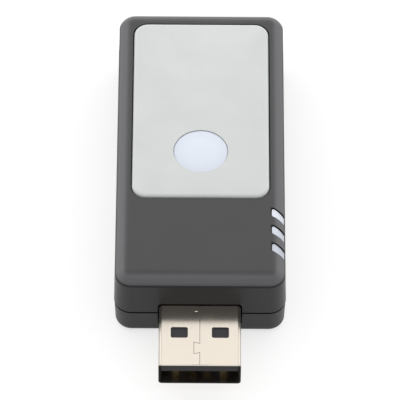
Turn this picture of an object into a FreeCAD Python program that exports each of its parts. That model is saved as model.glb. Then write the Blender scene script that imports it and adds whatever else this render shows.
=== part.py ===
import FreeCAD, Part

import math
import os
from types import SimpleNamespace

import Sketcher

# Plug-in USB Wi-Fi switch. Millimetres and degrees.
# +X to the right, +Y away from the plug's tip, +Z up; the origin is under the middle, on the table.

SIZES = {
    # Case, widest at the lower rim of the upper shell
    "case_width": 25.3,
    "case_length": 53.2,
    "case_corner": 2.6,
    "parting_height": 4.75,
    "seam_gap": 0.36,
    "upper_wall_height": 5.57,
    "wall_draft": 2.6,
    "roll_drop": 1.5,
    "roll_slope": 68.0,
    "roll_fill_ratio": 0.97,
    "roll_ledge": 0.08,
    "wall": 1.5,
    "ceiling": 1.5,
    "inner_corner": 1.2,
    # Lower shell, its lip inside the upper shell and its snap beads
    "lower_inset": 0.05,
    "lower_draft": 2.0,
    "base_fillet": 1.25,
    "floor_thickness": 1.3,
    "lip_thickness": 0.75,
    "lip_height": 1.2,
    "lip_play": 0.05,
    "lip_head_play": 0.1,
    "bead_length": 5.0,
    "bead_depth": 0.2,
    "bead_height": 0.45,
    "bead_lift": 0.6,
    "bead_spacing": 26.0,
    "bead_end_play": 0.1,
    # Plug: folded sheet, latch windows and seam
    "plug_reach": 10.85,
    "plug_length": 18.4,
    "plug_width": 12.0,
    "plug_height": 4.5,
    "plug_corner": 0.5,
    "plug_sheet": 0.3,
    "plug_drop": 0.45,
    "plug_gap": 0.2,
    "opening_corner": 0.7,
    "window_width": 2.5,
    "window_length": 1.95,
    "window_setback": 4.9,
    "window_spacing": 6.0,
    "window_corner": 0.3,
    "seam_width": 0.12,
    "seam_depth": 0.1,
    "seam_tab_width": 0.86,
    "seam_tab_setback": 2.2,
    "seam_tab_length": 1.65,
    "seam_tab_flare": 0.25,
    "solder_tab_width": 1.4,
    "solder_tab_length": 2.0,
    "solder_tab_setback": 14.8,
    # Plug insulator and contacts
    "insulator_play": 0.05,
    "insulator_corner": 0.25,
    "tongue_thickness": 1.9,
    "tongue_recess": 0.5,
    "plug_block_setback": 12.0,
    "plug_block_overhang": 0.5,
    "contact_width": 1.0,
    "contact_thickness": 0.3,
    "contact_proud": 0.1,
    "contact_inner_offset": 1.0,
    "contact_outer_offset": 3.5,
    "contact_outer_setback": 1.2,
    "contact_inner_setback": 2.2,
    "contact_tail": 0.8,
    # Main board
    "board_thickness": 1.0,
    "board_play": 0.3,
    "board_corner": 1.0,
    "board_drop": 0.4,
    "rest_width": 2.4,
    "pin_radius": 0.6,
    "pin_play": 0.1,
    "board_notch_play": 0.15,
    "rest_edge": 1.9,
    "rib_width": 1.3,
    "rib_length": 2.0,
    "rib_setback": 1.4,
    "clamp_width": 8.0,
    "clamp_length": 1.4,
    "clamp_play": 0.05,
    # Top panel and its staked tabs
    "panel_side_margin": 2.21,
    "panel_front_margin": 15.83,
    "panel_back_margin": 2.75,
    "panel_corner": 2.1,
    "panel_thickness": 1.1,
    "panel_proud": 0.3,
    "panel_gap": 0.18,
    "panel_rim": 0.3,
    "tab_width": 2.0,
    "tab_length": 1.0,
    "tab_play": 0.1,
    "tab_edge": 2.2,
    "tab_head": 0.5,
    "tab_head_height": 0.45,
    # Push button
    "button_setback": 24.54,
    "button_radius": 4.0,
    "button_gap": 0.08,
    "button_sink": 0.1,
    "button_edge": 0.1,
    "flange_radius": 4.7,
    "flange_thickness": 0.7,
    "flange_play": 0.25,
    "button_travel": 0.25,
    "overtravel": 0.2,
    "stem_radius": 1.6,
    "stem_play": 0.2,
    "boss_wall": 0.9,
    # Light guide: three slanted bars on one rail
    "bar_inset": 1.88,
    "bar_width": 1.45,
    "bar_slant": 25.0,
    "bar_pitch": 3.28,
    "bar_setback": 7.4,
    "bar_gap": 0.14,
    "bar_recess": 0.15,
    "bar_corner": 0.3,
    "bar_drop": 2.3,
    "rail_width": 1.4,
    "rail_height": 1.2,
    "leg_width": 1.2,
    "leg_lift": 0.25,
    # Socket at the far end
    "socket_width": 13.2,
    "socket_height": 5.7,
    "socket_length": 14.0,
    "socket_sheet": 0.3,
    "socket_corner": 0.6,
    "socket_setback": 0.2,
    "socket_gap": 0.2,
    "socket_block_depth": 5.1,
    "socket_tongue_width": 11.1,
    "socket_tongue_thickness": 1.84,
    "socket_tongue_lift": 0.05,
    "socket_tongue_length": 8.4,
    "socket_leg_length": 1.6,
    "socket_leg_reach": 0.6,
    "socket_leg_play": 0.15,
    "socket_leg_setback": 3.0,
    "socket_leg_spacing": 8.0,
    "finger_width": 2.0,
    "finger_length": 5.0,
    "finger_slit": 0.3,
    "finger_offset": 2.7,
    "finger_setback": 2.4,
    # Tact switch
    "switch_width": 6.0,
    "switch_height": 3.4,
    "switch_corner": 0.5,
    "switch_bore_radius": 2.3,
    "switch_cover_sheet": 0.2,
    "switch_cover_flap": 1.2,
    "switch_flap_width": 3.6,
    "plunger_radius": 1.7,
    "plunger_play": 0.15,
    "plunger_reach": 1.45,
    "plunger_collar_radius": 2.1,
    "plunger_collar_height": 1.0,
    "dome_rise": 0.4,
    "dome_crown": 1.1,
    "dome_sheet": 0.1,
    "terminal_width": 0.7,
    "terminal_sheet": 0.2,
    "terminal_height": 1.0,
    "terminal_foot": 1.1,
    "terminal_spacing": 4.5,
    # Radio module
    "module_width": 14.0,
    "module_length": 8.4,
    "module_thickness": 0.8,
    "module_gap": 0.3,
    "module_shift": -0.8,
    "castellation_width": 0.6,
    "castellation_depth": 0.35,
    "castellation_pitch": 1.5,
    "shield_width": 9.6,
    "shield_length": 7.0,
    "shield_height": 1.5,
    "shield_sheet": 0.2,
    "shield_edge": 0.8,
    "shield_corner": 0.4,
    "wifi_chip_width": 4.0,
    "wifi_chip_height": 0.85,
    "wifi_chip_offset": 2.2,
    "flash_width": 2.8,
    "flash_length": 3.2,
    "flash_offset": 2.6,
    "flash_shift": 1.2,
    "crystal_width": 2.0,
    "crystal_length": 1.6,
    "crystal_height": 0.6,
    "crystal_shift": 2.2,
    "antenna_leg": 2.6,
    "antenna_pitch": 0.9,
    "antenna_track": 0.4,
    "antenna_copper": 0.1,
    "antenna_edge": 0.5,
    # Small parts on the boards
    "chip_lead_width": 0.4,
    "chip_lead_sheet": 0.2,
    "chip_lead_reach": 0.9,
    "chip_stand_off": 0.15,
    "load_switch_width": 4.9,
    "load_switch_length": 3.9,
    "load_switch_height": 1.4,
    "load_switch_edge": 3.91,
    "regulator_width": 2.9,
    "regulator_length": 1.6,
    "regulator_height": 1.1,
    "regulator_edge": 2.71,
    "regulator_lift": 4.9,
    "inductor_width": 4.0,
    "inductor_height": 1.9,
    "inductor_corner": 0.5,
    "inductor_edge": 3.91,
    "power_row_setback": 17.2,
    "fuse_width": 3.2,
    "capacitor_width": 3.2,
    "passive_length": 1.6,
    "fuse_height": 0.8,
    "capacitor_height": 1.3,
    "inner_row_offset": 3.2,
    "input_capacitor_width": 2.0,
    "input_capacitor_length": 1.25,
    "input_capacitor_edge": 4.41,
    "small_width": 1.6,
    "small_length": 0.8,
    "small_height": 0.5,
    "small_edge": 2.31,
    "small_pitch": 2.0,
    "small_setback": 13.0,
    "led_width": 1.6,
    "led_length": 0.8,
    "led_height": 0.7,
    "button_led_setback": 5.2,
    "chip_edge": 0.12,
    # How far a cut runs past what it cuts
    "overshoot": 0.5,
}

TOLERANCE = 1e-3
RIGHT_ANGLE = 90
BAR_COUNT = 3
MEANDER_COUNT = 8
CASTELLATION_COUNT = 6
SWITCH_CHIP_COUNT = 4
REGULATOR_COUNT = 3
SMALL_COUNT = 5

os.makedirs("parts", exist_ok=True)
doc = FreeCAD.newDocument("UsbSwitch")
sheet = doc.addObject("Spreadsheet::Sheet", "Sizes")
for row, (alias, number) in enumerate(SIZES.items(), 1):
    sheet.set(f"A{row}", alias)
    sheet.set(f"B{row}", str(number))
    sheet.setAlias(f"B{row}", alias)
doc.recompute()


class Size:
    """A number together with the sheet formula that gives it."""

    def __init__(self, value, formula=None):
        self.value = float(value)
        self.formula = formula or repr(float(value))

    def __add__(self, other):
        other = as_size(other)
        return Size(self.value + other.value, f"({self.formula} + {other.formula})")

    def __sub__(self, other):
        other = as_size(other)
        return Size(self.value - other.value, f"({self.formula} - {other.formula})")

    def __mul__(self, other):
        other = as_size(other)
        return Size(self.value * other.value, f"{self.formula} * {other.formula}")

    def __truediv__(self, other):
        other = as_size(other)
        return Size(self.value / other.value, f"{self.formula} / ({other.formula})")

    def __radd__(self, other):
        return as_size(other) + self

    def __rsub__(self, other):
        return as_size(other) - self

    def __rmul__(self, other):
        return as_size(other) * self

    def __neg__(self):
        return Size(-self.value, f"(0 - {self.formula})")


def as_size(number):
    return number if isinstance(number, Size) else Size(number)


def tan(angle):
    return Size(math.tan(math.radians(angle.value)), f"tan({angle.formula})")


def sin(angle):
    return Size(math.sin(math.radians(angle.value)), f"sin({angle.formula})")


def cos(angle):
    return Size(math.cos(math.radians(angle.value)), f"cos({angle.formula})")


def bind(thing, prop, size):
    thing.setExpression(prop, as_size(size).formula)


s = SimpleNamespace(**{alias: Size(number, "Sizes." + alias) for alias, number in SIZES.items()})

# Planes and outlines that several pieces share
draft_run = s.upper_wall_height * tan(s.wall_draft)
front = (s.plug_reach - s.case_length) / 2
back = front + s.case_length
middle = s.plug_reach / 2
plug_tip = front - s.plug_reach
plug_rear = plug_tip + s.plug_length
crease_front = front + draft_run
crease_back = back - draft_run
crease_half = s.case_width / 2 - draft_run
lower_rim = s.parting_height - s.seam_gap / 2
upper_rim = s.parting_height + s.seam_gap / 2
bead_bottom = lower_rim + s.bead_lift
crease_height = upper_rim + s.upper_wall_height
case_top = crease_height + s.roll_drop
ceiling_height = case_top - s.ceiling
inner_half = crease_half - s.wall
inner_front = crease_front + s.wall
inner_back = crease_back - s.wall
roll_radius = s.roll_drop / sin(s.roll_slope) / tan(s.roll_slope / 2) * s.roll_fill_ratio
plug_centre = s.parting_height - s.plug_drop
plug_top = plug_centre + s.plug_height / 2
plug_bottom = plug_centre - s.plug_height / 2
board_top = plug_centre - s.board_drop
board_bottom = board_top - s.board_thickness
board_half = inner_half - s.board_play
board_front = inner_front + s.board_play
board_back = inner_back - s.board_play
panel_half = crease_half - s.panel_side_margin
panel_front = crease_front + s.panel_front_margin
panel_back = crease_back - s.panel_back_margin
panel_seat = case_top + s.panel_proud - s.panel_thickness
button_y = crease_front + s.button_setback
button_place = (0, button_y)
flange_bottom = panel_seat - s.flange_thickness
boss_floor = flange_bottom - s.button_travel - s.overtravel
boss_bottom = boss_floor - s.boss_wall
bar_left = crease_half - s.bar_inset
slot_bottom = crease_height - s.bar_drop
socket_mouth = back - s.socket_setback
socket_rear = socket_mouth - s.socket_length
socket_centre = board_top + s.socket_height / 2
switch_top = board_top + s.switch_height
switch_floor = switch_top - s.plunger_collar_height - s.dome_rise
plunger_top = switch_top + s.plunger_reach
module_back = button_y - s.switch_width / 2 - s.terminal_foot - s.module_gap
module_y = module_back - s.module_length / 2
regulator_y = button_y + s.regulator_lift
module_top = board_top + s.module_thickness
shield_x = s.module_shift + s.module_width / 2 - s.shield_edge - s.shield_width / 2
power_row_y = back - s.power_row_setback

nodes = []


def keep(thing, name):
    """Name a finished sub-part and put it on the list of nodes."""
    thing.Label = name
    nodes.append(thing)
    return thing


def new_body(name):
    body = doc.addObject("PartDesign::Body", name)
    body.AllowCompound = True
    return body


def new_sketch(body, role, shift):
    """Sketch on an origin plane of its body, moved along the plane's normal.

    The normals are +Z for XY_Plane, -Y for XZ_Plane and +X for YZ_Plane."""
    sketch = body.newObject("Sketcher::SketchObject", body.Name + "_sketch")
    plane = next(feature for feature in body.Origin.OriginFeatures if feature.Role == role)
    sketch.AttachmentSupport = (plane, [""])
    sketch.MapMode = "FlatFace"
    bind(sketch, "AttachmentOffset.Base.z", shift)
    return sketch


def arc_between(start, end, radius):
    """Circular arc from start to end; it turns left if the radius is positive."""
    chord = end - start
    side = FreeCAD.Vector(-chord.y, chord.x, 0).normalize() * math.copysign(1, radius)
    centre = (start + end) / 2 + side * math.sqrt(max(radius**2 - chord.Length**2 / 4, 0))
    if radius < 0:
        start, end = end, start
    angles = [math.atan2(point.y - centre.y, point.x - centre.x) for point in (start, end)]
    circle = Part.Circle(centre, FreeCAD.Vector(0, 0, 1), abs(radius))
    return Part.ArcOfCircle(circle, angles[0], angles[1])


def draw(sketch, steps):
    """Closed outline. A step is (x, y), reached by a line, or (x, y, radius), reached by an arc."""
    steps = [tuple(as_size(number) for number in step) for step in steps]
    first = sketch.GeometryCount
    geometry = []
    for index, step in enumerate(steps):
        start = FreeCAD.Vector(steps[index - 1][0].value, steps[index - 1][1].value, 0)
        end = FreeCAD.Vector(step[0].value, step[1].value, 0)
        is_arc = len(step) == 3
        geometry.append(arc_between(start, end, step[2].value) if is_arc else Part.LineSegment(start, end))
    sketch.addGeometry(geometry, False)

    def end_of(index, at_start):
        backwards = len(steps[index]) == 3 and steps[index][2].value < 0
        return first + index, 1 if at_start != backwards else 2

    rules = []
    formulas = []
    for index, step in enumerate(steps):
        following = (index + 1) % len(steps)
        rules.append(Sketcher.Constraint("Coincident", *end_of(index, False), *end_of(following, True)))
        formulas.append(None)
        for kind, number in (("DistanceX", step[0]), ("DistanceY", step[1])):
            rules.append(Sketcher.Constraint(kind, -1, 1, *end_of(index, False), number.value))
            formulas.append(number)
        if len(step) == 3:
            rules.append(Sketcher.Constraint("Radius", first + index, abs(step[2].value)))
            formulas.append(step[2] if step[2].value > 0 else -step[2])
    count = sketch.ConstraintCount
    sketch.addConstraint(rules)
    for index, formula in enumerate(formulas):
        if formula is not None:
            bind(sketch, f"Constraints[{count + index}]", formula)


def draw_circle(sketch, x, y, radius):
    x, y, radius = as_size(x), as_size(y), as_size(radius)
    circle = sketch.GeometryCount
    centre = FreeCAD.Vector(x.value, y.value, 0)
    sketch.addGeometry(Part.Circle(centre, FreeCAD.Vector(0, 0, 1), radius.value), False)
    count = sketch.ConstraintCount
    sketch.addConstraint(
        [
            Sketcher.Constraint("DistanceX", -1, 1, circle, 3, x.value),
            Sketcher.Constraint("DistanceY", -1, 1, circle, 3, y.value),
            Sketcher.Constraint("Radius", circle, radius.value),
        ]
    )
    for index, number in enumerate((x, y, radius)):
        bind(sketch, f"Constraints[{count + index}]", number)


def rectangle(left, right, low, high):
    return [(right, low), (right, high), (left, high), (left, low)]


def rounded(left, right, low, high, radius):
    """Rectangle with round corners, anticlockwise from its lower right corner."""
    return [
        (right - radius, low),
        (right, low + radius, radius),
        (right, high - radius),
        (right - radius, high, radius),
        (left + radius, high),
        (left, high - radius, radius),
        (left, low + radius),
        (left + radius, low, radius),
    ]


def pad(body, sketch, length, taper=None, reverse=False):
    feature = body.newObject("PartDesign::Pad", body.Name + "_pad")
    feature.Profile = sketch
    feature.Reversed = reverse
    bind(feature, "Length", length)
    if taper is not None:
        bind(feature, "TaperAngle", taper)
    return feature


def cut(body, sketch, depth, reverse=False):
    """Pocket against the sketch's normal, or along it if reversed."""
    feature = body.newObject("PartDesign::Pocket", body.Name + "_pocket")
    feature.Profile = sketch
    feature.Reversed = reverse
    bind(feature, "Length", depth)
    return feature


def edges_where(shape, test):
    return [f"Edge{number}" for number, edge in enumerate(shape.Edges, 1) if test(edge)]


def dress(body, kind, prop, size, test):
    """Fillet or chamfer every edge that passes the test."""
    doc.recompute()
    base = body.Tip
    feature = body.newObject("PartDesign::" + kind, body.Name + "_" + kind.lower())
    feature.Base = (base, edges_where(base.Shape, test))
    bind(feature, prop, size)
    return feature


def fillet(body, radius, test):
    return dress(body, "Fillet", "Radius", radius, test)


def chamfer(body, size, test):
    return dress(body, "Chamfer", "Size", size, test)


def spin(body, sketch):
    """Turn a half profile on the XZ plane once round the sketch's vertical axis."""
    feature = body.newObject("PartDesign::Revolution", body.Name + "_revolution")
    feature.Profile = sketch
    feature.ReferenceAxis = (sketch, ["V_Axis"])
    feature.Angle = 360
    return feature


def at_height(height):
    """Test for an edge that lies in one horizontal plane."""

    def is_there(edge):
        low, high = edge.BoundBox.ZMin, edge.BoundBox.ZMax
        return abs(low - height.value) < TOLERANCE and abs(high - height.value) < TOLERANCE

    return is_there


def upright(edge):
    return edge.BoundBox.ZLength > TOLERANCE and edge.BoundBox.XLength + edge.BoundBox.YLength < TOLERANCE


def slab(body, outlines, height, thickness, taper=None, reverse=False):
    """Pad one or more outlines, drawn on one sketch at a height, upwards or downwards."""
    sketch = new_sketch(body, "XY_Plane", height)
    for outline in outlines:
        draw(sketch, outline)
    return pad(body, sketch, thickness, taper, reverse)


def discs(body, places, radius, height, thickness):
    sketch = new_sketch(body, "XY_Plane", height)
    for x, y in places:
        draw_circle(sketch, x, y, radius)
    return pad(body, sketch, thickness)


def pocket_down(body, outlines, height, depth):
    sketch = new_sketch(body, "XY_Plane", height)
    for outline in outlines:
        draw(sketch, outline)
    return cut(body, sketch, depth)


def pocket_up(body, outlines, height, depth):
    sketch = new_sketch(body, "XY_Plane", height)
    for outline in outlines:
        draw(sketch, outline)
    return cut(body, sketch, depth, reverse=True)


def bore_down(body, places, radius, height, depth):
    sketch = new_sketch(body, "XY_Plane", height)
    for x, y in places:
        draw_circle(sketch, x, y, radius)
    return cut(body, sketch, depth)


def case_outline(inset):
    half = s.case_width / 2 - inset
    return rounded(-half, half, front + inset, back - inset, s.case_corner - inset)


def inner_outline(grow):
    half = inner_half + grow
    return rounded(-half, half, inner_front - grow, inner_back + grow, s.inner_corner + grow)


def panel_outline(grow):
    half = panel_half + grow
    return rounded(-half, half, panel_front - grow, panel_back + grow, s.panel_corner + grow)


def case_form(body, grow):
    """Drafted walls up to the crease, then a small ledge, the rolled edge and the flat top."""
    slab(body, [case_outline(-grow)], upper_rim, s.upper_wall_height + grow, -s.wall_draft)
    flank = s.roll_slope - RIGHT_ANGLE
    slab(body, [case_outline(draft_run - s.roll_ledge - grow)], crease_height + grow, s.roll_drop, flank)
    return fillet(body, roll_radius, at_height(case_top + grow))


def plug_opening(body):
    sketch = new_sketch(body, "XZ_Plane", s.overshoot - front)
    half = s.plug_width / 2 + s.plug_gap
    low = plug_bottom - s.plug_gap
    high = plug_top + s.plug_gap
    draw(sketch, rounded(-half, half, low, high, s.opening_corner))
    return cut(body, sketch, s.wall + draft_run + 2 * s.overshoot)


def socket_opening(body):
    sketch = new_sketch(body, "XZ_Plane", -back - s.overshoot)
    half = s.socket_width / 2 + s.socket_gap
    low = board_top - s.socket_gap
    high = board_top + s.socket_height + s.socket_gap
    draw(sketch, rounded(-half, half, low, high, s.socket_corner + s.socket_gap))
    return cut(body, sketch, s.wall + draft_run + 2 * s.overshoot, reverse=True)


def bar_outline(index, grow):
    """Plan of one slanted light bar: straight left end with round corners, open past the right wall."""
    lean = tan(s.bar_slant)
    left = bar_left - grow
    right = s.case_width / 2 + s.overshoot
    far = crease_front + s.bar_setback + index * s.bar_pitch + grow + grow * lean
    near = far - s.bar_width - 2 * grow
    fall = (right - left) * lean
    radius = s.bar_corner + grow
    near_run = radius / tan(45 + s.bar_slant / 2)
    far_run = radius / tan(45 - s.bar_slant / 2)
    return [
        (left, near + near_run),
        (left + near_run * cos(s.bar_slant), near - near_run * sin(s.bar_slant), radius),
        (right, near - fall),
        (right, far - fall),
        (left + far_run * cos(s.bar_slant), far - far_run * sin(s.bar_slant)),
        (left, far - far_run, radius),
    ]


def square(x, y, width, length):
    return rectangle(x - width / 2, x + width / 2, y - length / 2, y + length / 2)


def panel_tabs(grow):
    """Plans of the panel's four tabs, or of their holes or heads."""
    width = s.tab_width + 2 * grow
    length = s.tab_length + 2 * grow
    xs = (s.tab_edge - panel_half, panel_half - s.tab_edge)
    ys = (panel_front + s.tab_edge, panel_back - s.tab_edge)
    return [square(x, y, width, length) for x in xs for y in ys]


def rest_places():
    xs = (s.rest_edge - board_half, board_half - s.rest_edge)
    return [(x, y) for x in xs for y in (board_front + s.rest_edge, board_back - s.rest_edge)]


def pin_places():
    """Two rests on one diagonal carry locating pins."""
    places = rest_places()
    return [places[0], places[-1]]


def bead_plans(length, depth):
    """Plans of the snap beads on the lip's side walls, or of the grooves that take them."""
    tip = inner_half + s.lip_thickness + depth
    plans = []
    for y in (middle - s.bead_spacing / 2, middle + s.bead_spacing / 2):
        plans.append(rectangle(inner_half, tip, y - length / 2, y + length / 2))
        plans.append(rectangle(-tip, -inner_half, y - length / 2, y + length / 2))
    return plans


def build_upper_shell():
    body = new_body("upper_shell")
    case_form(body, as_size(0))
    pocket_up(body, [inner_outline(as_size(0))], upper_rim, ceiling_height - upper_rim)
    # Rebate for the lower shell's lip, and grooves for its beads
    rebate_height = lower_rim + s.lip_height + s.lip_head_play - upper_rim
    pocket_up(body, [inner_outline(s.lip_thickness + s.lip_play)], upper_rim, rebate_height)
    grooves = bead_plans(s.bead_length + 2 * s.bead_end_play, s.bead_depth + s.lip_play)
    pocket_up(body, grooves, bead_bottom - s.lip_play, s.bead_height + 2 * s.lip_play)
    # Seat for the panel and holes for its tabs
    pocket_down(body, [panel_outline(s.panel_gap)], case_top, case_top - panel_seat)
    # Boss that guides the button
    outer = s.flange_radius + s.flange_play + s.boss_wall
    discs(body, [button_place], outer, boss_bottom, ceiling_height - boss_bottom)
    bore_down(body, [button_place], s.flange_radius + s.flange_play, panel_seat, panel_seat - boss_floor)
    bore_down(body, [button_place], s.stem_radius + s.stem_play, boss_floor, s.boss_wall)
    pocket_down(body, panel_tabs(s.tab_play), panel_seat, panel_seat - ceiling_height)
    plug_opening(body)
    socket_opening(body)
    # Ribs that hold the board down, and two that clamp the plug
    ribs = []
    for low in (inner_front + s.rib_setback, inner_back - s.rib_setback - s.rib_length):
        ribs.append(rectangle(-inner_half, s.rib_width - inner_half, low, low + s.rib_length))
        ribs.append(rectangle(inner_half - s.rib_width, inner_half, low, low + s.rib_length))
    slab(body, ribs, board_top, ceiling_height - board_top)
    clamps = []
    for low in (inner_front, plug_rear - s.clamp_length):
        clamps.append(rectangle(-s.clamp_width / 2, s.clamp_width / 2, low, low + s.clamp_length))
    clamp_bottom = plug_top + s.clamp_play
    slab(body, clamps, clamp_bottom, ceiling_height - clamp_bottom)
    # Slots for the light bars
    slots = [bar_outline(index, s.bar_gap) for index in range(BAR_COUNT)]
    pocket_down(body, slots, case_top + s.overshoot, case_top + s.overshoot - slot_bottom)
    return keep(body, "upper_shell")


def build_lower_shell():
    body = new_body("lower_shell")
    slab(body, [case_outline(s.lower_inset)], lower_rim, lower_rim, -s.lower_draft, reverse=True)
    fillet(body, s.base_fillet, at_height(as_size(0)))
    pocket_down(body, [inner_outline(as_size(0))], lower_rim, lower_rim - s.floor_thickness)
    slab(body, [inner_outline(s.lip_thickness), inner_outline(as_size(0))], lower_rim, s.lip_height)
    slab(body, bead_plans(s.bead_length, s.bead_depth), bead_bottom, s.bead_height)
    plug_opening(body)
    socket_opening(body)
    # Rests and pins for the board
    floor = s.floor_thickness
    rests = [square(x, y, s.rest_width, s.rest_width) for x, y in rest_places()]
    slab(body, rests, floor, board_bottom - floor)
    discs(body, pin_places(), s.pin_radius, board_bottom, s.board_thickness)
    # Cradle under the plug
    cradles = []
    for low in (inner_front, plug_rear - s.clamp_length):
        cradles.append(rectangle(-s.clamp_width / 2, s.clamp_width / 2, low, low + s.clamp_length))
    slab(body, cradles, floor, plug_bottom - s.clamp_play - floor)
    return keep(body, "lower_shell")


def build_top_panel():
    body = new_body("top_panel")
    slab(body, [panel_outline(as_size(0))], panel_seat, s.panel_thickness)
    panel_top = panel_seat + s.panel_thickness
    chamfer(body, s.panel_rim, at_height(panel_top))
    bore_down(body, [button_place], s.button_radius + s.button_gap, panel_top, s.panel_thickness)
    slab(body, panel_tabs(as_size(0)), ceiling_height, panel_seat - ceiling_height)
    slab(body, panel_tabs(s.tab_head), ceiling_height, s.tab_head_height, reverse=True)
    return keep(body, "top_panel")


def build_push_button():
    body = new_body("push_button")
    discs(body, [button_place], s.flange_radius, flange_bottom, s.flange_thickness)
    cap_height = s.panel_thickness - s.button_sink
    discs(body, [button_place], s.button_radius, panel_seat, cap_height)
    cap_top = panel_seat + cap_height
    chamfer(body, s.button_edge, at_height(cap_top))
    discs(body, [button_place], s.stem_radius, plunger_top, flange_bottom - plunger_top)
    return keep(body, "push_button")


def build_light_guide():
    """Three bars on one rail, trimmed to a skin that lies just under the case's surface."""
    skin = new_body("light_guide_skin")
    case_form(skin, -s.bar_recess)
    bars = new_body("light_guide_bars")
    rail_right = inner_half - s.bar_gap
    rail_left = rail_right - s.rail_width
    rail_top = ceiling_height - s.bar_gap
    rail_bottom = rail_top - s.rail_height
    first = crease_front + s.bar_setback - s.bar_width
    last = first + (BAR_COUNT - 1) * s.bar_pitch + s.bar_width
    rail = rectangle(rail_left, rail_right, first - s.bar_corner, last + s.bar_corner)
    slab(bars, [rail], rail_bottom, s.rail_height)
    legs = []
    for index in range(BAR_COUNT):
        low = first + index * s.bar_pitch
        legs.append(rectangle(rail_left, rail_left + s.leg_width, low, low + s.leg_width))
    leg_bottom = board_top + s.led_height + s.leg_lift
    slab(bars, legs, leg_bottom, rail_bottom - leg_bottom)
    foot = slot_bottom + s.bar_gap
    outlines = [bar_outline(index, as_size(0)) for index in range(BAR_COUNT)]
    slab(bars, outlines, foot, case_top + s.overshoot - foot)
    guide = doc.addObject("Part::Common", "light_guide")
    guide.Base = bars
    guide.Tool = skin
    return keep(guide, "light_guide")


def build_main_board():
    body = new_body("main_board")
    corner = s.board_corner
    notch = s.plug_width / 2 + s.board_notch_play
    notch_end = plug_rear + s.plug_block_overhang + s.board_notch_play
    outline = [
        (board_half - corner, board_front),
        (board_half, board_front + corner, corner),
        (board_half, board_back - corner),
        (board_half - corner, board_back, corner),
        (corner - board_half, board_back),
        (-board_half, board_back - corner, corner),
        (-board_half, board_front + corner),
        (corner - board_half, board_front, corner),
        (-notch, board_front),
        (-notch, notch_end),
        (notch, notch_end),
        (notch, board_front),
    ]
    slab(body, [outline], board_bottom, s.board_thickness)
    bore_down(body, pin_places(), s.pin_radius + s.pin_play, board_top, s.board_thickness)
    play = s.socket_leg_play
    slots = [rectangle(left - play, right + play, low - play, high + play)
             for left, right, low, high in socket_legs()]
    pocket_down(body, slots, board_top, s.board_thickness)
    return keep(body, "main_board")


def build_plug_shell():
    body = new_body("usb_plug_shell")
    half = s.plug_width / 2
    sheet = s.plug_sheet
    sketch = new_sketch(body, "XZ_Plane", -plug_tip)
    for inset in (0, sheet):
        draw(sketch, rounded(inset - half, half - inset, plug_bottom + inset, plug_top - inset,
                             s.plug_corner - inset))
    pad(body, sketch, s.plug_length, None, True)
    near = plug_tip + s.window_setback
    windows = []
    for side in (-1, 1):
        centre = side * s.window_spacing / 2
        left = centre - s.window_width / 2
        windows.append(rounded(left, left + s.window_width, near, near + s.window_length, s.window_corner))
    pocket_down(body, windows, plug_top + s.overshoot, s.plug_height + 2 * s.overshoot)
    # Seam of the folded sheet, with its dovetail
    slit = s.seam_width / 2
    tab = s.seam_tab_width
    low = plug_tip + s.seam_tab_setback
    high = low + s.seam_tab_length
    flare = s.seam_tab_flare
    seam = [
        (slit, plug_tip - s.overshoot),
        (slit, low + slit),
        (slit - tab, low - flare + slit),
        (slit - tab, high + flare - slit),
        (slit, high - slit),
        (slit, plug_rear + s.overshoot),
        (-slit, plug_rear + s.overshoot),
        (-slit, high + slit),
        (-slit - tab, high + flare + slit),
        (-slit - tab, low - flare - slit),
        (-slit, low - slit),
        (-slit, plug_tip - s.overshoot),
    ]
    pocket_down(body, [seam], plug_top, s.seam_depth)
    # Solder tabs that rest on the board
    low = plug_tip + s.solder_tab_setback
    tabs = [
        rectangle(-half - s.solder_tab_width, sheet - half, low, low + s.solder_tab_length),
        rectangle(half - sheet, half + s.solder_tab_width, low, low + s.solder_tab_length),
    ]
    slab(body, tabs, board_top, sheet)
    return keep(body, "usb_plug_shell")


def contact_slots(body, y, depth, offsets, low, reverse):
    """Long slots for contact strips, cut along Y through an insulator."""
    sketch = new_sketch(body, "XZ_Plane", -y)
    for offset in offsets:
        for side in (-1, 1):
            centre = side * offset
            draw(sketch, rectangle(centre - s.contact_width / 2, centre + s.contact_width / 2,
                                   low, low + s.contact_thickness))
    return cut(body, sketch, depth, reverse)


def build_plug_insulator():
    body = new_body("usb_plug_insulator")
    half = s.plug_width / 2 - s.plug_sheet - s.insulator_play
    high = plug_top - s.plug_sheet
    tongue_bottom = high - s.tongue_thickness
    tip = plug_tip + s.tongue_recess
    rear = plug_rear + s.plug_block_overhang
    sketch = new_sketch(body, "XZ_Plane", -tip)
    draw(sketch, rounded(-half, half, tongue_bottom, high, s.insulator_corner))
    pad(body, sketch, rear - tip, None, True)
    block_front = plug_tip + s.plug_block_setback
    sketch = new_sketch(body, "XZ_Plane", -block_front)
    low = plug_bottom + s.plug_sheet + s.insulator_play
    draw(sketch, rounded(-half, half, low, high, s.insulator_corner))
    pad(body, sketch, rear - block_front, None, True)
    strip_low = tongue_bottom - s.contact_proud
    outer_front = plug_tip + s.contact_outer_setback
    inner_front_end = plug_tip + s.contact_inner_setback
    contact_slots(body, rear, rear - outer_front, [s.contact_outer_offset], strip_low, True)
    contact_slots(body, rear, rear - inner_front_end, [s.contact_inner_offset], strip_low, True)
    return keep(body, "usb_plug_insulator")


def strip(name, offset, outline):
    """One contact strip: its side view on the YZ plane, given its width along X."""
    body = new_body(name)
    sketch = new_sketch(body, "YZ_Plane", offset - s.contact_width / 2)
    draw(sketch, outline)
    pad(body, sketch, s.contact_width)
    return body


def group(name, members):
    thing = doc.addObject("Part::Compound", name)
    thing.Links = members
    return keep(thing, name)


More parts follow.
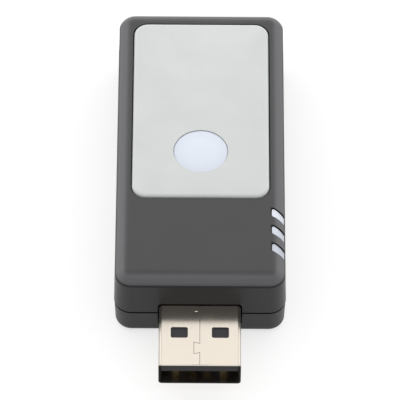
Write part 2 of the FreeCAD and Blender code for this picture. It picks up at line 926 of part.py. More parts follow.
def build_plug_contacts():
    thick = s.contact_thickness
    low = plug_top - s.plug_sheet - s.tongue_thickness - s.contact_proud
    rear = plug_rear + s.plug_block_overhang
    step = rear + thick
    tail = step + s.contact_tail
    members = []
    outer = (s.contact_outer_offset, s.contact_outer_setback)
    inner = (s.contact_inner_offset, s.contact_inner_setback)
    for offset, setback in (outer, inner):
        tip = plug_tip + setback
        outline = [
            (tip, low),
            (step, low),
            (step, board_top),
            (tail, board_top),
            (tail, board_top + thick),
            (step + thick, board_top + thick),
            (step + thick, low + thick),
            (tip, low + thick),
        ]
        for side in (-1, 1):
            members.append(strip(f"plug_contact_{len(members) + 1}", side * offset, outline))
    return group("usb_plug_contacts", members)


def socket_legs():
    """Corners of the four legs that drop from the socket's sides through the board."""
    half = s.socket_width / 2
    legs = []
    for back_off in (s.socket_leg_setback, s.socket_leg_setback + s.socket_leg_spacing):
        high = socket_mouth - back_off
        low = high - s.socket_leg_length
        legs.append((half - s.socket_sheet, half, low, high))
        legs.append((-half, s.socket_sheet - half, low, high))
    return legs


def build_socket_shell():
    body = new_body("usb_socket_shell")
    half = s.socket_width / 2
    sheet = s.socket_sheet
    top = board_top + s.socket_height
    sketch = new_sketch(body, "XZ_Plane", -socket_mouth)
    for inset in (0, sheet):
        draw(sketch, rounded(inset - half, half - inset, board_top + inset, top - inset,
                             s.socket_corner - inset))
    pad(body, sketch, s.socket_length)
    # Legs hang from the side walls, above the round lower corners
    leg_top = board_top + s.socket_corner
    outlines = [rectangle(*leg) for leg in socket_legs()]
    slab(body, outlines, leg_top, leg_top - board_bottom + s.socket_leg_reach, None, True)
    # Slits that free two spring fingers in the top sheet
    fingers = []
    slit = s.finger_slit
    high = socket_mouth - s.finger_setback
    low = high - s.finger_length
    for side in (-1, 1):
        left = side * s.finger_offset - s.finger_width / 2
        right = left + s.finger_width
        fingers.append(
            [
                (right + slit, low),
                (right + slit, high + slit),
                (left - slit, high + slit),
                (left - slit, low),
                (left, low),
                (left, high),
                (right, high),
                (right, low),
            ]
        )
    pocket_down(body, fingers, top + s.overshoot, sheet + 2 * s.overshoot)
    return keep(body, "usb_socket_shell")


def build_socket_insulator():
    body = new_body("usb_socket_insulator")
    half = s.socket_width / 2 - s.socket_sheet - s.insulator_play
    low = board_top + s.socket_sheet + s.insulator_play
    high = board_top + s.socket_height - s.socket_sheet - s.insulator_play
    sketch = new_sketch(body, "XZ_Plane", -socket_rear)
    draw(sketch, rounded(-half, half, low, high, s.socket_corner))
    pad(body, sketch, s.socket_block_depth, None, True)
    tongue_low = socket_centre + s.socket_tongue_lift
    sketch = new_sketch(body, "XZ_Plane", -socket_rear)
    tongue_half = s.socket_tongue_width / 2
    draw(sketch, rectangle(-tongue_half, tongue_half, tongue_low, tongue_low + s.socket_tongue_thickness))
    length = s.socket_block_depth + s.socket_tongue_length
    pad(body, sketch, length, None, True)
    tongue_tip = socket_rear + length
    chamfer(body, s.contact_thickness,
            lambda edge: edge.BoundBox.XLength > s.socket_tongue_width.value / 2
            and abs(edge.BoundBox.YMin - tongue_tip.value) < TOLERANCE)
    strip_low = tongue_low - s.contact_proud
    offsets = [s.contact_inner_offset, s.contact_outer_offset]
    contact_slots(body, socket_rear, length - s.contact_width, offsets, strip_low, False)
    return keep(body, "usb_socket_insulator")


def build_socket_contacts():
    thick = s.contact_thickness
    low = socket_centre + s.socket_tongue_lift - s.contact_proud
    tip = socket_rear + s.socket_block_depth + s.socket_tongue_length - s.contact_width
    drop = socket_rear - thick
    foot = drop - s.contact_tail
    outline = [
        (tip, low),
        (tip, low + thick),
        (drop - thick, low + thick),
        (drop - thick, board_top + thick),
        (foot - thick, board_top + thick),
        (foot - thick, board_top),
        (drop, board_top),
        (drop, low),
    ]
    members = []
    for offset in (s.contact_outer_offset, s.contact_inner_offset):
        for side in (-1, 1):
            members.append(strip(f"socket_contact_{len(members) + 1}", side * offset, outline))
    return group("usb_socket_contacts", members)


def build_tact_switch():
    body = new_body("tact_switch_base")
    slab(body, [square(as_size(0), button_y, s.switch_width, s.switch_width)], board_top, s.switch_height)
    chamfer(body, s.switch_corner, upright)
    bore_down(body, [button_place], s.switch_bore_radius, switch_top, switch_top - switch_floor)
    keep(body, "tact_switch_base")

    body = new_body("tact_switch_cover")
    sheet = s.switch_cover_sheet
    slab(body, [square(as_size(0), button_y, s.switch_width + 2 * sheet, s.switch_width)], switch_top, sheet)
    bore_down(body, [button_place], s.plunger_radius + s.plunger_play, switch_top + sheet, sheet)
    flaps = []
    for side in (-1, 1):
        centre = side * (s.switch_width + sheet) / 2
        flaps.append(square(centre, button_y, sheet, s.switch_flap_width))
    slab(body, flaps, switch_top, s.switch_cover_flap, None, True)
    keep(body, "tact_switch_cover")

    body = new_body("tact_switch_plunger")
    collar_bottom = switch_top - s.plunger_collar_height
    discs(body, [button_place], s.plunger_collar_radius, collar_bottom, s.plunger_collar_height)
    discs(body, [button_place], s.plunger_radius, switch_top, plunger_top - switch_top)
    keep(body, "tact_switch_plunger")

    build_switch_dome()

    members = []
    reach = s.switch_width / 2
    for facing in (-1, 1):
        side_view = [
            (button_y + facing * reach, board_top),
            (button_y + facing * (reach + s.terminal_foot), board_top),
            (button_y + facing * (reach + s.terminal_foot), board_top + s.terminal_sheet),
            (button_y + facing * (reach + s.terminal_sheet), board_top + s.terminal_sheet),
            (button_y + facing * (reach + s.terminal_sheet), board_top + s.terminal_height),
            (button_y + facing * reach, board_top + s.terminal_height),
        ]
        for side in (-1, 1):
            terminal = new_body(f"tact_terminal_{len(members) + 1}")
            left = side * s.terminal_spacing / 2 - s.terminal_width / 2
            sketch = new_sketch(terminal, "YZ_Plane", left)
            draw(sketch, side_view)
            pad(terminal, sketch, s.terminal_width)
            members.append(terminal)
    group("tact_switch_terminals", members)


def build_switch_dome():
    """Snap dome: a thin shallow cup whose flat crown carries the plunger."""
    body = new_body("tact_switch_dome")
    sketch = new_sketch(body, "XZ_Plane", -button_y)
    rim = s.plunger_collar_radius
    crown = switch_floor + s.dome_rise
    section = [
        (rim, switch_floor),
        (s.dome_crown, crown),
        (0, crown),
        (0, crown - s.dome_sheet),
        (s.dome_crown - s.dome_sheet, crown - s.dome_sheet),
        (rim - 2 * s.dome_sheet, switch_floor),
    ]
    draw(sketch, section)
    spin(body, sketch)
    return keep(body, "tact_switch_dome")


def block(name, x, y, height, width, length, thickness):
    """Moulded block on a board, with its top edges broken."""
    body = new_body(name)
    slab(body, [square(as_size(x), as_size(y), width, length)], height, thickness)
    chamfer(body, s.chip_edge, at_height(height + thickness))
    return body


def chip(name, *place_and_size):
    return keep(block(name, *place_and_size), name)


def lead_places(x, width, count):
    return [x + ((step + 0.5) / count - 0.5) * width for step in range(count)]


def leads(name, xs, y, length, height):
    """Gull-wing leads on both long sides of a chip, as separate solids."""
    sheet = s.chip_lead_sheet
    members = []
    for facing in (-1, 1):
        near = length / 2
        far = near + s.chip_lead_reach
        side_view = [
            (y + facing * near, height + s.chip_stand_off),
            (y + facing * (near + sheet), height + s.chip_stand_off),
            (y + facing * (near + sheet), height),
            (y + facing * far, height),
            (y + facing * far, height + sheet),
            (y + facing * (near + 2 * sheet), height + sheet),
            (y + facing * (near + 2 * sheet), height + s.chip_stand_off + 2 * sheet),
            (y + facing * near, height + s.chip_stand_off + 2 * sheet),
        ]
        for x in xs:
            lead = new_body(f"{name}_{len(members) + 1}")
            sketch = new_sketch(lead, "YZ_Plane", x - s.chip_lead_width / 2)
            draw(sketch, side_view)
            pad(lead, sketch, s.chip_lead_width)
            members.append(lead)
    return group(name, members)


def build_radio_module():
    body = new_body("wifi_module_board")
    outline = square(s.module_shift, module_y, s.module_width, s.module_length)
    slab(body, [outline], board_top, s.module_thickness)
    edge = s.module_length / 2
    notches = []
    for step in range(CASTELLATION_COUNT):
        x = s.module_shift + (step - 0.5) * s.castellation_pitch
        for side in (-1, 1):
            notches.append(square(x, module_y + side * edge, s.castellation_width, 2 * s.castellation_depth))
    pocket_down(body, notches, module_top, s.module_thickness)
    keep(body, "wifi_module_board")

    body = new_body("wifi_module_shield")
    slab(body, [square(shield_x, module_y, s.shield_width, s.shield_length)], module_top, s.shield_height)
    fillet(body, s.shield_corner, upright)
    walls = 2 * s.shield_sheet
    inside = square(shield_x, module_y, s.shield_width - walls, s.shield_length - walls)
    pocket_up(body, [inside], module_top, s.shield_height - s.shield_sheet)
    keep(body, "wifi_module_shield")

    radio = s.wifi_chip_width
    chip("wifi_chip", shield_x - s.wifi_chip_offset, module_y, module_top, radio, radio, s.wifi_chip_height)
    chip("flash_chip", shield_x + s.flash_offset, module_y + s.flash_shift, module_top,
         s.flash_width, s.flash_length, s.wifi_chip_height)
    chip("crystal", shield_x + s.flash_offset, module_y - s.crystal_shift, module_top,
         s.crystal_width, s.crystal_length, s.crystal_height)
    build_antenna()


def build_antenna():
    """Meander of copper at the module's free end, as one outline walked out and back."""
    body = new_body("antenna_trace")
    left = s.module_shift - s.module_width / 2 + s.antenna_edge
    right = left + s.antenna_leg
    track = s.antenna_track
    low = module_y - s.antenna_pitch * (MEANDER_COUNT - 1) / 2 - track / 2
    out = [(left, low)]
    home = [(left, low + track)]
    for leg in range(MEANDER_COUNT):
        y = low + leg * s.antenna_pitch
        if leg % 2 == 0:
            out.append((right, y))
            home.append((right - track, y + track))
            if leg + 1 < MEANDER_COUNT:
                home.append((right - track, y + s.antenna_pitch))
                out.append((right, y + s.antenna_pitch + track))
        else:
            home.append((left, y))
            out.append((left + track, y + track))
            if leg + 1 < MEANDER_COUNT:
                out.append((left + track, y + s.antenna_pitch))
                home.append((left, y + s.antenna_pitch + track))
    slab(body, [out + home[::-1]], module_top, s.antenna_copper)
    return keep(body, "antenna_trace")


def build_power_parts():
    stand = board_top + s.chip_stand_off
    x = s.load_switch_edge - board_half
    chip("load_switch_chip", x, button_y, stand,
         s.load_switch_width, s.load_switch_length, s.load_switch_height)
    xs = lead_places(x, s.load_switch_width, SWITCH_CHIP_COUNT)
    leads("load_switch_leads", xs, button_y, s.load_switch_length, board_top)

    x = s.regulator_edge - board_half
    chip("voltage_regulator", x, regulator_y, stand,
         s.regulator_width, s.regulator_length, s.regulator_height)
    xs = lead_places(x, s.regulator_width, REGULATOR_COUNT)
    leads("regulator_leads", xs, regulator_y, s.regulator_length, board_top)

    body = new_body("inductor")
    x = board_half - s.inductor_edge
    slab(body, [square(x, button_y, s.inductor_width, s.inductor_width)], board_top, s.inductor_height)
    chamfer(body, s.inductor_corner, upright)
    chamfer(body, s.chip_edge, at_height(board_top + s.inductor_height))
    keep(body, "inductor")
    chip("resettable_fuse", -s.inner_row_offset, power_row_y, board_top,
         s.fuse_width, s.passive_length, s.fuse_height)
    chip("output_capacitor", s.inner_row_offset, power_row_y, board_top,
         s.capacitor_width, s.passive_length, s.capacitor_height)
    chip("input_capacitor", board_half - s.input_capacitor_edge, regulator_y, board_top,
         s.input_capacitor_width, s.input_capacitor_length, s.passive_length)


def build_small_parts():
    """Rows of like resistors and capacitors beside the socket, and the light emitters."""
    first = back - s.small_setback
    side_x = board_half - s.small_edge
    for name, x in (("small_resistors", -side_x), ("small_capacitors", side_x)):
        members = []
        for step in range(SMALL_COUNT):
            y = first + step * s.small_pitch
            members.append(block(f"{name}_{step + 1}", x, y, board_top,
                                 s.small_width, s.small_length, s.small_height))
        group(name, members)
    leg_x = inner_half - s.bar_gap - s.rail_width + s.leg_width / 2
    first = crease_front + s.bar_setback - s.bar_width + s.leg_width / 2
    members = []
    for step in range(BAR_COUNT):
        members.append(block(f"status_led_{step + 1}", leg_x, first + step * s.bar_pitch, board_top,
                             s.led_length, s.led_width, s.led_height))
    group("status_leds", members)
    chip("button_led", as_size(0), button_y + s.button_led_setback, board_top,
         s.led_width, s.led_length, s.led_height)


def build_nodes():
    build_upper_shell()
    build_lower_shell()
    build_top_panel()
    build_push_button()
    build_light_guide()
    build_main_board()
    build_plug_shell()
    build_plug_insulator()
    build_plug_contacts()
    build_socket_shell()
    build_socket_insulator()
    build_socket_contacts()
    build_tact_switch()
    build_radio_module()
    build_power_parts()
    build_small_parts()


build_nodes()
doc.recompute()

failed = [thing.Name for thing in doc.Objects if {"Invalid", "Error"} & set(thing.State)]
if failed:
    raise SystemExit("failed: " + ", ".join(failed))
for thing in doc.Objects:
    if thing.TypeId == "PartDesign::Pocket":
        if thing.Shape.Volume >= thing.BaseFeature.Shape.Volume - TOLERANCE:
            raise SystemExit(f"{thing.Name} cuts nothing")
for node in nodes:
    if node.Shape.isNull() or not node.Shape.isValid() or not node.Shape.Solids:
        raise SystemExit(f"{node.Label} has no valid solid")
    node.Shape.exportStep(f"parts/{node.Label}.step")
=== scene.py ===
import math

import bmesh
import bpy
from mathutils import Matrix, Vector


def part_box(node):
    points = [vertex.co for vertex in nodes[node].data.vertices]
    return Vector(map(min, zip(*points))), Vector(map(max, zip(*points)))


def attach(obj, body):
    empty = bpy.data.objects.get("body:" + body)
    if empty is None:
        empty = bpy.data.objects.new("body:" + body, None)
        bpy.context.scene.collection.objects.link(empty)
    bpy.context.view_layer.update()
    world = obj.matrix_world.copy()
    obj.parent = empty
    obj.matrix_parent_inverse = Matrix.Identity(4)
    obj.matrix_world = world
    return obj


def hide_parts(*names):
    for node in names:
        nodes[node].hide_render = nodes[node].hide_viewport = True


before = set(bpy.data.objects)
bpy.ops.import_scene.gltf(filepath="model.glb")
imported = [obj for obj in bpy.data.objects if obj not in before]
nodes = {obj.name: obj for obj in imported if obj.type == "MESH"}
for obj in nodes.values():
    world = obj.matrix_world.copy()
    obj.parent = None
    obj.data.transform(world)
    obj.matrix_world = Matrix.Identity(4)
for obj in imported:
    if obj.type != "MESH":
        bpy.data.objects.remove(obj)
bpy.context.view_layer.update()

# Sizes are in millimetres. Times MM they are in metres.
MM = 0.001

TOP = 12.3
CASE_TOP = 12.0
PLATE_SEAT = 11.2
BUTTON_Y = 3.62

POCKET_HALF_WIDTH = 10.375
POCKET_FRONT = -5.28
POCKET_BACK = 29.21

SLOT_INNER_END = 10.377
SLOT_SLANT = 0.4663
SLOT_PITCH = 3.28
SLOT_WIDTH = 1.77
SLOT_FLOOR = 8.2
SLOTS_FRONT = -15.067
SLOTS_BACK = -6.73

PLUG_TIP = -32.025
PLUG_TOP = 6.55
PLUG_SHEET = 0.3
PLUG_FLAT_HALF_WIDTH = 5.55
SEAM_HALF_WIDTH = 1.3
SEAM_DEPTHS = (0.03, 0.13)
SEAM_FADE = (7.9, 9.0)
MARK_PLACE = (-0.53, 9.65)
MARK_SIZE = (0.3, 0.2)

CAMERA_TARGET = (-0.070, -1.340, 6.8)
CAMERA_DISTANCE = 671.87
CAMERA_YAW = -0.150
CAMERA_ELEVATION = 50.55
CAMERA_ROLL = 0.466
FOCAL_LENGTH = 405.1
SENSOR_WIDTH = 36.0


# Shader graphs

class Wire:
    """A node's output. Sums on wires add Math nodes."""

    def __init__(self, graph, socket):
        self.graph = graph
        self.socket = socket

    def maths(self, operation, first, second):
        return self.graph.add("Math", {"operation": operation}, {0: first, 1: second})

    def __add__(self, other):
        return self.maths("ADD", self, other)

    def __radd__(self, other):
        return self.maths("ADD", other, self)

    def __sub__(self, other):
        return self.maths("SUBTRACT", self, other)

    def __mul__(self, other):
        return self.maths("MULTIPLY", self, other)

    def __truediv__(self, other):
        return self.maths("DIVIDE", self, other)

    def __gt__(self, other):
        return self.maths("GREATER_THAN", self, other)

    def __lt__(self, other):
        return self.maths("LESS_THAN", self, other)


class Graph:
    """The nodes of one material, or of the world."""

    def __init__(self, owner):
        owner.use_nodes = True
        self.owner = owner
        self.tree = owner.node_tree
        self.tree.nodes.clear()

    def add(self, kind, settings=None, values=None, output=0):
        """Add a node: its settings come first, and then the values or wires of its sockets."""
        node = self.tree.nodes.new("ShaderNode" + kind)
        for name, setting in (settings or {}).items():
            if name == "stops":
                while len(node.color_ramp.elements) < len(setting):
                    node.color_ramp.elements.new(0.5)
                for stop, (place, colour) in zip(node.color_ramp.elements, setting):
                    stop.position = place
                    stop.color = colour
            else:
                setattr(node, name, setting)
        for name, value in (values or {}).items():
            socket = node.inputs[name]
            if isinstance(value, Wire):
                self.tree.links.new(value.socket, socket)
            else:
                socket.default_value = value
        return Wire(self, node.outputs[output]) if node.outputs else None

    def place(self, stretch=(1, 1, 1)):
        """Object coordinates, stretched."""
        here = self.add("TexCoord", output="Object")
        return self.add("Mapping", {}, {"Vector": here, "Scale": stretch})

    def axes(self):
        """The three object coordinates, in metres."""
        here = self.add("TexCoord", output="Object")
        return [self.add("SeparateXYZ", {}, {0: here}, axis) for axis in range(3)]

    def fade(self, value, near, far):
        """Smooth step that is one up to near and zero from far on."""
        return self.add("MapRange", {"interpolation_type": "SMOOTHSTEP"},
                        {"Value": value, "From Min": near, "From Max": far, "To Min": 1.0, "To Max": 0.0})

    def noise(self, size, detail=2.0, stretch=(1, 1, 1)):
        """Soft noise from 0 to 1 whose grains are about size millimetres across."""
        where = self.place(stretch)
        return self.add("TexNoise", {}, {"Vector": where, "Scale": 1 / (size * MM), "Detail": detail})

    def seen(self):
        """One for rays that show the surface itself or its mirror image, and zero for its light."""
        kinds = ("Camera", "Glossy", "Transmission")
        rays = [self.add("LightPath", output=f"Is {kind} Ray") for kind in kinds]
        return rays[0] + rays[1] + rays[2]

    def blend(self, share, first, second):
        """Mix of two colours; share is a wire or a number from 0 to 1."""
        return self.add("Mix", {"data_type": "RGBA"}, {0: share, 6: first, 7: second}, 2)

    def tone(self, colour, factor):
        """Product of two colours."""
        return self.add("Mix", {"data_type": "RGBA", "blend_type": "MULTIPLY"}, {0: 1.0, 6: colour, 7: factor}, 2)

    def relief(self, height, depth):
        """Normal of a bumpy surface, its depth in millimetres."""
        return self.add("Bump", {}, {"Height": height, "Distance": depth * MM, "Strength": 1.0})

    def surface(self, **sockets):
        """Principled surface on the material's output."""
        values = {name.replace("_", " "): value for name, value in sockets.items()}
        shader = self.add("BsdfPrincipled", {}, values)
        self.add("OutputMaterial", {}, {"Surface": shader})
        return self.owner


def rgb(red, green, blue):
    return (red, green, blue, 1.0)


def grey(level):
    return rgb(level, level, level)


def shade(colour, factor):
    return tuple(channel * factor for channel in colour[:3]) + (1.0,)


def graph_of(name):
    return Graph(bpy.data.materials.new(name))


BLACK = grey(0.0)
WHITE = grey(1.0)


# Finishes

def case_hollows(graph):
    """One on the walls of the light bars' slots and of the plate's pocket, which lie in shadow."""
    across, along, up = graph.axes()
    slanted = along + (across - SLOT_INNER_END * MM) * SLOT_SLANT
    step = slanted.maths("MODULO", slanted - SLOTS_FRONT * MM, SLOT_PITCH * MM)
    row = (slanted > SLOTS_FRONT * MM) * (slanted < SLOTS_BACK * MM) * (across > (SLOT_INNER_END - 0.02) * MM)
    slots = (step < SLOT_WIDTH * MM) * row * (up > SLOT_FLOOR * MM)
    pocket = (across * across < (POCKET_HALF_WIDTH * MM) ** 2) * (up < (CASE_TOP - 0.03) * MM)
    pocket = pocket * (along > POCKET_FRONT * MM) * (along < POCKET_BACK * MM)
    return slots.maths("MAXIMUM", slots, pocket)


def moulded(name, colour, roughness, grain=0.09, depth=0.004, specular=0.5, painted_light_zones=None, hollows=None):
    """Injection-moulded plastic with a fine spark-eroded texture and faint flow clouds.

    The zone table gives heights and greys of a ramp that tones the colour from the table up to the top: painted
    light and shade by height.
    Hollows gives the share of deep shade."""
    graph = graph_of(name)
    clouds = graph.noise(6.0, 3.0)
    texture = graph.noise(grain, 2.0)
    tint = graph.blend(clouds, shade(colour, 0.93), shade(colour, 1.07))
    tint = graph.blend(texture * 0.25, tint, shade(colour, 0.8))
    # Painted light and shade: the colour is toned by height.
    if painted_light_zones:
        stops = [(height / TOP, grey(level)) for height, level in painted_light_zones]
        height = graph.axes()[2] / (TOP * MM)
        tint = graph.tone(tint, graph.add("ValToRGB", {"stops": stops}, {"Fac": height}))
    if hollows:
        tint = graph.blend(hollows(graph), tint, shade(colour, 0.04))
    return graph.surface(
        Base_Color=tint,
        Roughness=roughness + (clouds - 0.5) * 0.08 + (texture - 0.5) * 0.1,
        Specular_IOR_Level=specular,
        Normal=graph.relief(texture, depth),
    )


def milky(name, colour, deep, centre, reach, painted_glow_heights=None):
    """Cloudy light-guide plastic, paler in the middle and deeper in tone towards its edges: painted light that
    stands in for light scattered inside it.

    Its last argument is a range of heights where its front wall glows by emission: painted light that stands in
    for light scattered inside it."""
    graph = graph_of(name)
    here = graph.add("TexCoord", output="Object")
    middle = tuple(place * MM for place in centre)
    away = graph.add("VectorMath", {"operation": "DISTANCE"}, {0: here, 1: middle}, "Value")
    # Painted light: paler near the centre and deeper in tone further away, standing in for light scattered inside
    # the plastic.
    tint = graph.blend(graph.fade(away, reach[0] * MM, reach[1] * MM), deep, colour)
    wisps = graph.noise(2.2, 3.0)
    painted_glow = {}
    # Painted glow: emission on the front wall between two heights, though the part is no lamp.
    if painted_glow_heights:
        _, along, up = graph.axes()
        front = graph.fade(along, (centre[1] - 3.3) * MM, (centre[1] - 1.0) * MM)
        wall = (up > painted_glow_heights[0] * MM) * (up < painted_glow_heights[1] * MM) * front
        painted_glow = {"Emission_Color": graph.blend(wall, BLACK, shade(colour, 0.38)), "Emission_Strength": 1.0}
    return graph.surface(
        Base_Color=graph.blend(wisps * 0.2, tint, shade(colour, 0.94)),
        Roughness=0.3 + wisps * 0.08,
        Normal=graph.relief(graph.noise(0.12, 2.0), 0.001),
        **painted_glow,
    )


def plating(graph, colour, along):
    """Rolling lines of a plated sheet, its tint with cloudy patches, and its change of roughness."""
    lines = graph.noise(0.12, 4.0, along)
    patches = graph.noise(2.5, 3.0)
    tint = graph.blend(patches * 0.5 + lines * 0.3, colour, shade(colour, 0.9))
    return lines, tint, (lines - 0.5) * 0.12 + (patches - 0.5) * 0.08


def rolled(name, colour, roughness, along=(1, 0.03, 1)):
    """Plated sheet with fine rolling lines along one axis and a few cloudy dull patches."""
    graph = graph_of(name)
    lines, tint, dullness = plating(graph, colour, along)
    return graph.surface(
        Base_Color=tint,
        Metallic=1.0,
        Roughness=roughness + dullness,
        Normal=graph.relief(lines, 0.0012),
    )


def folded(name, colour, roughness):
    """The plug's folded sheet: near-black, rougher cut edge at its mouth, painted shade in the seam of its top
    and on its rounded flanks, and one small press mark.
    """
    graph = graph_of(name)
    across, along, up = graph.axes()
    lines, tint, dullness = plating(graph, colour, (1, 0.03, 1))
    # The cut edge at the mouth, save along the top sheet, is made near black and rougher.
    mouth = (along < (PLUG_TIP + 0.02) * MM) * (up < (PLUG_TOP - PLUG_SHEET - 0.01) * MM)
    # Painted shade in the seam's slit, fading out towards the rear.
    seam_shade = (up < (PLUG_TOP - SEAM_DEPTHS[0]) * MM) * (up > (PLUG_TOP - SEAM_DEPTHS[1]) * MM)
    seam_shade = seam_shade * (across * across < (SEAM_HALF_WIDTH * MM) ** 2)
    seam_shade = seam_shade * graph.fade(along, (PLUG_TIP + SEAM_FADE[0]) * MM, (PLUG_TIP + SEAM_FADE[1]) * MM)
    # Painted shade on the rounded flanks beyond the flat top, which holds back their highlights.
    shaded_flank = across * across > (PLUG_FLAT_HALF_WIDTH * MM) ** 2
    aside = (across - MARK_PLACE[0] * MM) / (MARK_SIZE[0] * MM)
    ahead = (along - (PLUG_TIP + MARK_PLACE[1]) * MM) / (MARK_SIZE[1] * MM)
    mark = graph.fade(aside * aside + ahead * ahead, 0.0, 1.0)
    # Near black for the cut edge, and half blended as painted shade in the seam.
    near_black = rgb(0.018, 0.017, 0.016)
    tint = graph.blend(shaded_flank, tint, shade(colour, 0.64))
    tint = graph.blend(seam_shade * 0.45, tint, near_black)
    return graph.surface(
        Base_Color=graph.blend(mouth, tint, near_black),
        Metallic=1.0,
        Roughness=roughness + dullness + mouth * 0.3,
        Normal=graph.relief(lines * 0.0012 - mark * 0.05, 1.0),
    )


def laminate(name, mask, copper):
    """Circuit board: solder mask over faint tracks, with a glassy coat."""
    graph = graph_of(name)
    pattern = {"Vector": graph.place(), "Color1": BLACK, "Color2": BLACK, "Mortar": WHITE,
               "Scale": 260.0, "Mortar Size": 0.035, "Mortar Smooth": 0.2}
    tracks = graph.add("TexBrick", {"offset": 0.37, "squash": 0.6}, pattern, "Fac")
    weave = graph.noise(0.3, 2.0)
    return graph.surface(
        Base_Color=graph.blend(tracks * 0.7, graph.blend(weave, mask, shade(mask, 1.3)), copper),
        Roughness=0.32 + weave * 0.1,
        Normal=graph.relief(tracks * 0.5 + weave * 0.2, 0.01),
    )


def epoxy(name, colour, roughness=0.55):
    """Chip package or fired body: matt, with a speckle of filler."""
    graph = graph_of(name)
    filler = graph.noise(0.05, 3.0)
    speckle = graph.add("ValToRGB", {"stops": [(0.55, BLACK), (0.72, WHITE)]}, {"Fac": filler})
    return graph.surface(
        Base_Color=graph.blend(speckle, colour, shade(colour, 1.9)),
        Roughness=roughness + (filler - 0.5) * 0.2,
        Normal=graph.relief(filler, 0.004),
    )


# Painted light and shade on the case by height: dark walls, a near-black line at the crease, a bright band on the
# rolled edge and a dimmer flat top.
CASE_PAINTED_LIGHT_ZONES = (
    (0.0, 0.11), (10.3, 0.13),
    (10.38, 0.01), (10.76, 0.01),
    (10.86, 0.8), (11.2, 1.0), (11.75, 0.78),
    (11.97, 0.33),
)
# Painted highlight on the plate's rounded rim: the rim keeps the full colour while the top face is toned down.
PLATE_PAINTED_LIGHT_ZONES = ((0.0, 1.0), (12.22, 1.0), (12.29, 0.882))

case_grey = moulded("case_grey", rgb(0.122, 0.122, 0.129), 0.4,
                    specular=0.42, painted_light_zones=CASE_PAINTED_LIGHT_ZONES, hollows=case_hollows)
plate_grey = moulded("plate_grey", rgb(0.66, 0.68, 0.668), 0.45, grain=0.12, depth=0.003, painted_light_zones=PLATE_PAINTED_LIGHT_ZONES)
insulator_black = moulded("insulator_black", rgb(0.045, 0.043, 0.048), 0.4,
                          grain=0.2, depth=0.003, specular=0.2)
plug_steel = folded("plug_steel", rgb(0.79, 0.722, 0.63), 0.2)
steel = rolled("nickel_plated_steel", rgb(0.86, 0.8, 0.7), 0.2)
tin = rolled("tin_plated_steel", rgb(0.72, 0.72, 0.71), 0.32, (0.05, 1, 1))
gold = rolled("gold_plate", rgb(0.31, 0.25, 0.15), 0.48)
# The cap's front wall glows with painted light between 11.7 and 12.18 mm.
cap_milky = milky("cap_milky", rgb(0.667, 0.711, 0.784), rgb(0.611, 0.655, 0.737),
                  (0.0, BUTTON_Y, 12.2), (2.0, 4.2), (11.7, 12.18))
guide_milky = milky("guide_milky", rgb(0.72, 0.75, 0.83), rgb(0.5, 0.54, 0.61),
                    (11.6, -7.0, 12.0), (0.5, 7.5))
lamp_resin = milky("lamp_resin", rgb(0.84, 0.82, 0.66), rgb(0.7, 0.66, 0.5),
                   (0.0, 0.0, 0.0), (0.0, 30.0))
board_green = laminate("board_green", rgb(0.012, 0.07, 0.035), rgb(0.03, 0.14, 0.06))
chip_black = epoxy("chip_black", rgb(0.022, 0.022, 0.024))
ferrite = epoxy("ferrite", rgb(0.05, 0.05, 0.054), 0.7)
fuse_green = epoxy("fuse_green", rgb(0.03, 0.13, 0.07), 0.45)
fired_brown = epoxy("fired_brown", rgb(0.4, 0.28, 0.17), 0.5)


def dress(material, *names):
    for name in names:
        nodes[name].material_slots[0].material = material


dress(case_grey, "upper_shell", "lower_shell")
dress(plate_grey, "top_panel")
dress(cap_milky, "push_button")
dress(guide_milky, "light_guide")
dress(plug_steel, "usb_plug_shell")
dress(steel, "usb_socket_shell")
dress(insulator_black, "usb_plug_insulator", "usb_socket_insulator", "tact_switch_base", "tact_switch_plunger")
dress(gold, "usb_plug_contacts", "usb_socket_contacts", "antenna_trace")
dress(tin, "tact_switch_cover", "tact_switch_dome", "tact_switch_terminals", "wifi_module_shield",
      "load_switch_leads", "regulator_leads", "crystal")
dress(board_green, "main_board", "wifi_module_board")
dress(chip_black, "wifi_chip", "flash_chip", "load_switch_chip", "voltage_regulator", "small_resistors")
dress(ferrite, "inductor")
dress(fuse_green, "resettable_fuse")
dress(fired_brown, "input_capacitor", "output_capacitor", "small_capacitors")
dress(lamp_resin, "status_leds", "button_led")


# Pieces whose sharp edges are rounded off

low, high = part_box("push_button")
button_axis = (Vector(low).xy + Vector(high).xy) / 2


def soften(name, body, offset, lowest, clear=0.0, rim=None):
    """Rounded stand-in for a CAD node: sharp edges above a height and clear of the button are bevelled.

    Rim is a radius and a factor: the cap's wall outside that radius is widened, to narrow its gap."""
    def from_button(corner):
        return (corner.co.xy - button_axis).length

    form = bmesh.new()
    form.from_mesh(nodes[name].data)
    form.transform(nodes[name].matrix_world)
    bmesh.ops.remove_doubles(form, verts=form.verts, dist=0.002 * MM)
    if rim:
        radius, factor = rim
        wall = [corner for corner in form.verts
                if corner.co.z > (PLATE_SEAT + 0.05) * MM and from_button(corner) > radius * MM]
        bmesh.ops.scale(form, verts=wall, vec=(factor, factor, 1), space=Matrix.Translation(-button_axis.to_3d()))
    sharp = [edge for edge in form.edges
             if len(edge.link_faces) == 2 and edge.calc_face_angle() > math.radians(35)
             and all(corner.co.z > lowest * MM and from_button(corner) > clear * MM for corner in edge.verts)]
    bmesh.ops.bevel(form, geom=sharp, offset=offset * MM, affect="EDGES", segments=3, profile=0.5, material=-1)
    for face in form.faces:
        face.smooth = True
    mesh = bpy.data.meshes.new(name + "_rounded")
    form.to_mesh(mesh)
    form.free()
    mesh.set_sharp_from_angle(angle=math.radians(30))
    piece = bpy.data.objects.new(name + "_rounded", mesh)
    bpy.context.scene.collection.objects.link(piece)
    mesh.materials.append(nodes[name].material_slots[0].material)
    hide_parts(name)
    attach(piece, body)


soften("top_panel", "case", 0.19, 11.95, clear=4.6)
soften("push_button", "button", 0.05, 12.05, rim=(3.7, 1.012))


# Table, light and camera

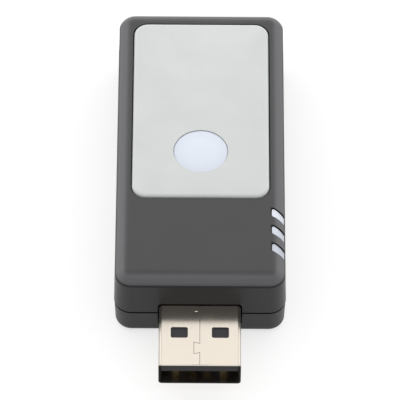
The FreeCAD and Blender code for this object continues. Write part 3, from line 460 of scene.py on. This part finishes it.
FLOOR_RADIUS = 3.0
BACKDROP_HEIGHT = 0.6
BACKDROP_SPREAD = 1.2

SKY_BASE = 0.49
SKY_LOBES = (
    (0, 64, 8, 0.26),
    (0, 90, 8, 0.4),
    (0, 80, 30, 0.9),
    (180, 42, 8, 0.38),
    (180, 8, 8, 2.3),
    (120, 10, 8, 0.8),
    (120, 35, 8, 0.75),
    (135, 28, 30, 0.6),
    (-120, 10, 8, 0.8),
    (-120, 35, 8, 0.76),
    (-135, 28, 30, 0.5),
    (-60, 35, 8, 0.1),
    (90, 8, 8, 0.6),
    (-90, 8, 8, 0.7),
)


def lay_floor():
    """Pale round table whose far rim turns up as a low backdrop; it keeps the object's shadow."""
    mesh = bpy.data.meshes.new("floor")
    form = bmesh.new()
    bmesh.ops.create_circle(form, cap_ends=True, radius=FLOOR_RADIUS, segments=48)
    rim = bmesh.ops.extrude_edge_only(form, edges=list(form.edges))["geom"]
    rim = [part for part in rim if isinstance(part, bmesh.types.BMVert)]
    bmesh.ops.translate(form, verts=rim, vec=(0, 0, BACKDROP_HEIGHT))
    bmesh.ops.scale(form, verts=rim, vec=(BACKDROP_SPREAD, BACKDROP_SPREAD, 1.0))
    form.to_mesh(mesh)
    form.free()
    floor = bpy.data.objects.new("floor", mesh)
    bpy.context.scene.collection.objects.link(floor)
    graph = graph_of("floor_white")
    speckle = graph.noise(30.0, 2.0)
    graph.surface(
        Base_Color=graph.blend(speckle * 0.1, grey(0.36), grey(0.34)),
        Roughness=0.8,
        Specular_IOR_Level=0.0,
        Emission_Color=graph.blend(graph.seen(), BLACK, grey(0.67)),
        Emission_Strength=1.0,
    )
    mesh.materials.append(graph.owner)


def set_world():
    """Studio sky: an even base and soft lobes of light, each with a bearing, height, focus and strength.

    Bearing 0 is in front of the plug and 90 to its right."""
    world = bpy.data.worlds.new("studio")
    bpy.context.scene.world = world
    graph = Graph(world)
    here = graph.add("TexCoord", output="Generated")
    light = SKY_BASE
    for bearing, height, focus, strength in SKY_LOBES:
        bearing, height = math.radians(bearing), math.radians(height)
        level = math.cos(height)
        toward = (level * math.sin(bearing), -level * math.cos(bearing), math.sin(height))
        along = graph.add("VectorMath", {"operation": "DOT_PRODUCT"}, {0: here, 1: toward}, "Value")
        light = light + along.maths("POWER", along.maths("MAXIMUM", along, 0.0), focus) * strength
    sky = graph.add("Background", {}, {"Color": WHITE, "Strength": light})
    graph.add("OutputWorld", {}, {"Surface": sky})


def set_camera():
    """Camera at the photograph's angle, far off with a long lens."""
    lens = bpy.data.cameras.new("camera")
    lens.sensor_width = SENSOR_WIDTH
    lens.lens = FOCAL_LENGTH
    lens.clip_start = 0.01
    lens.clip_end = 20.0
    camera = bpy.data.objects.new("camera", lens)
    bpy.context.scene.collection.objects.link(camera)
    target = Matrix.Translation(Vector(CAMERA_TARGET) * MM)
    yaw = Matrix.Rotation(math.radians(CAMERA_YAW), 4, "Z")
    tilt = Matrix.Rotation(math.radians(90 - CAMERA_ELEVATION), 4, "X")
    roll = Matrix.Rotation(math.radians(CAMERA_ROLL), 4, "Z")
    back = Matrix.Translation((0, 0, CAMERA_DISTANCE * MM))
    camera.matrix_world = target @ yaw @ tilt @ roll @ back
    bpy.context.scene.camera = camera


lay_floor()
set_world()
set_camera()
bpy.context.scene.view_settings.view_transform = "Standard"
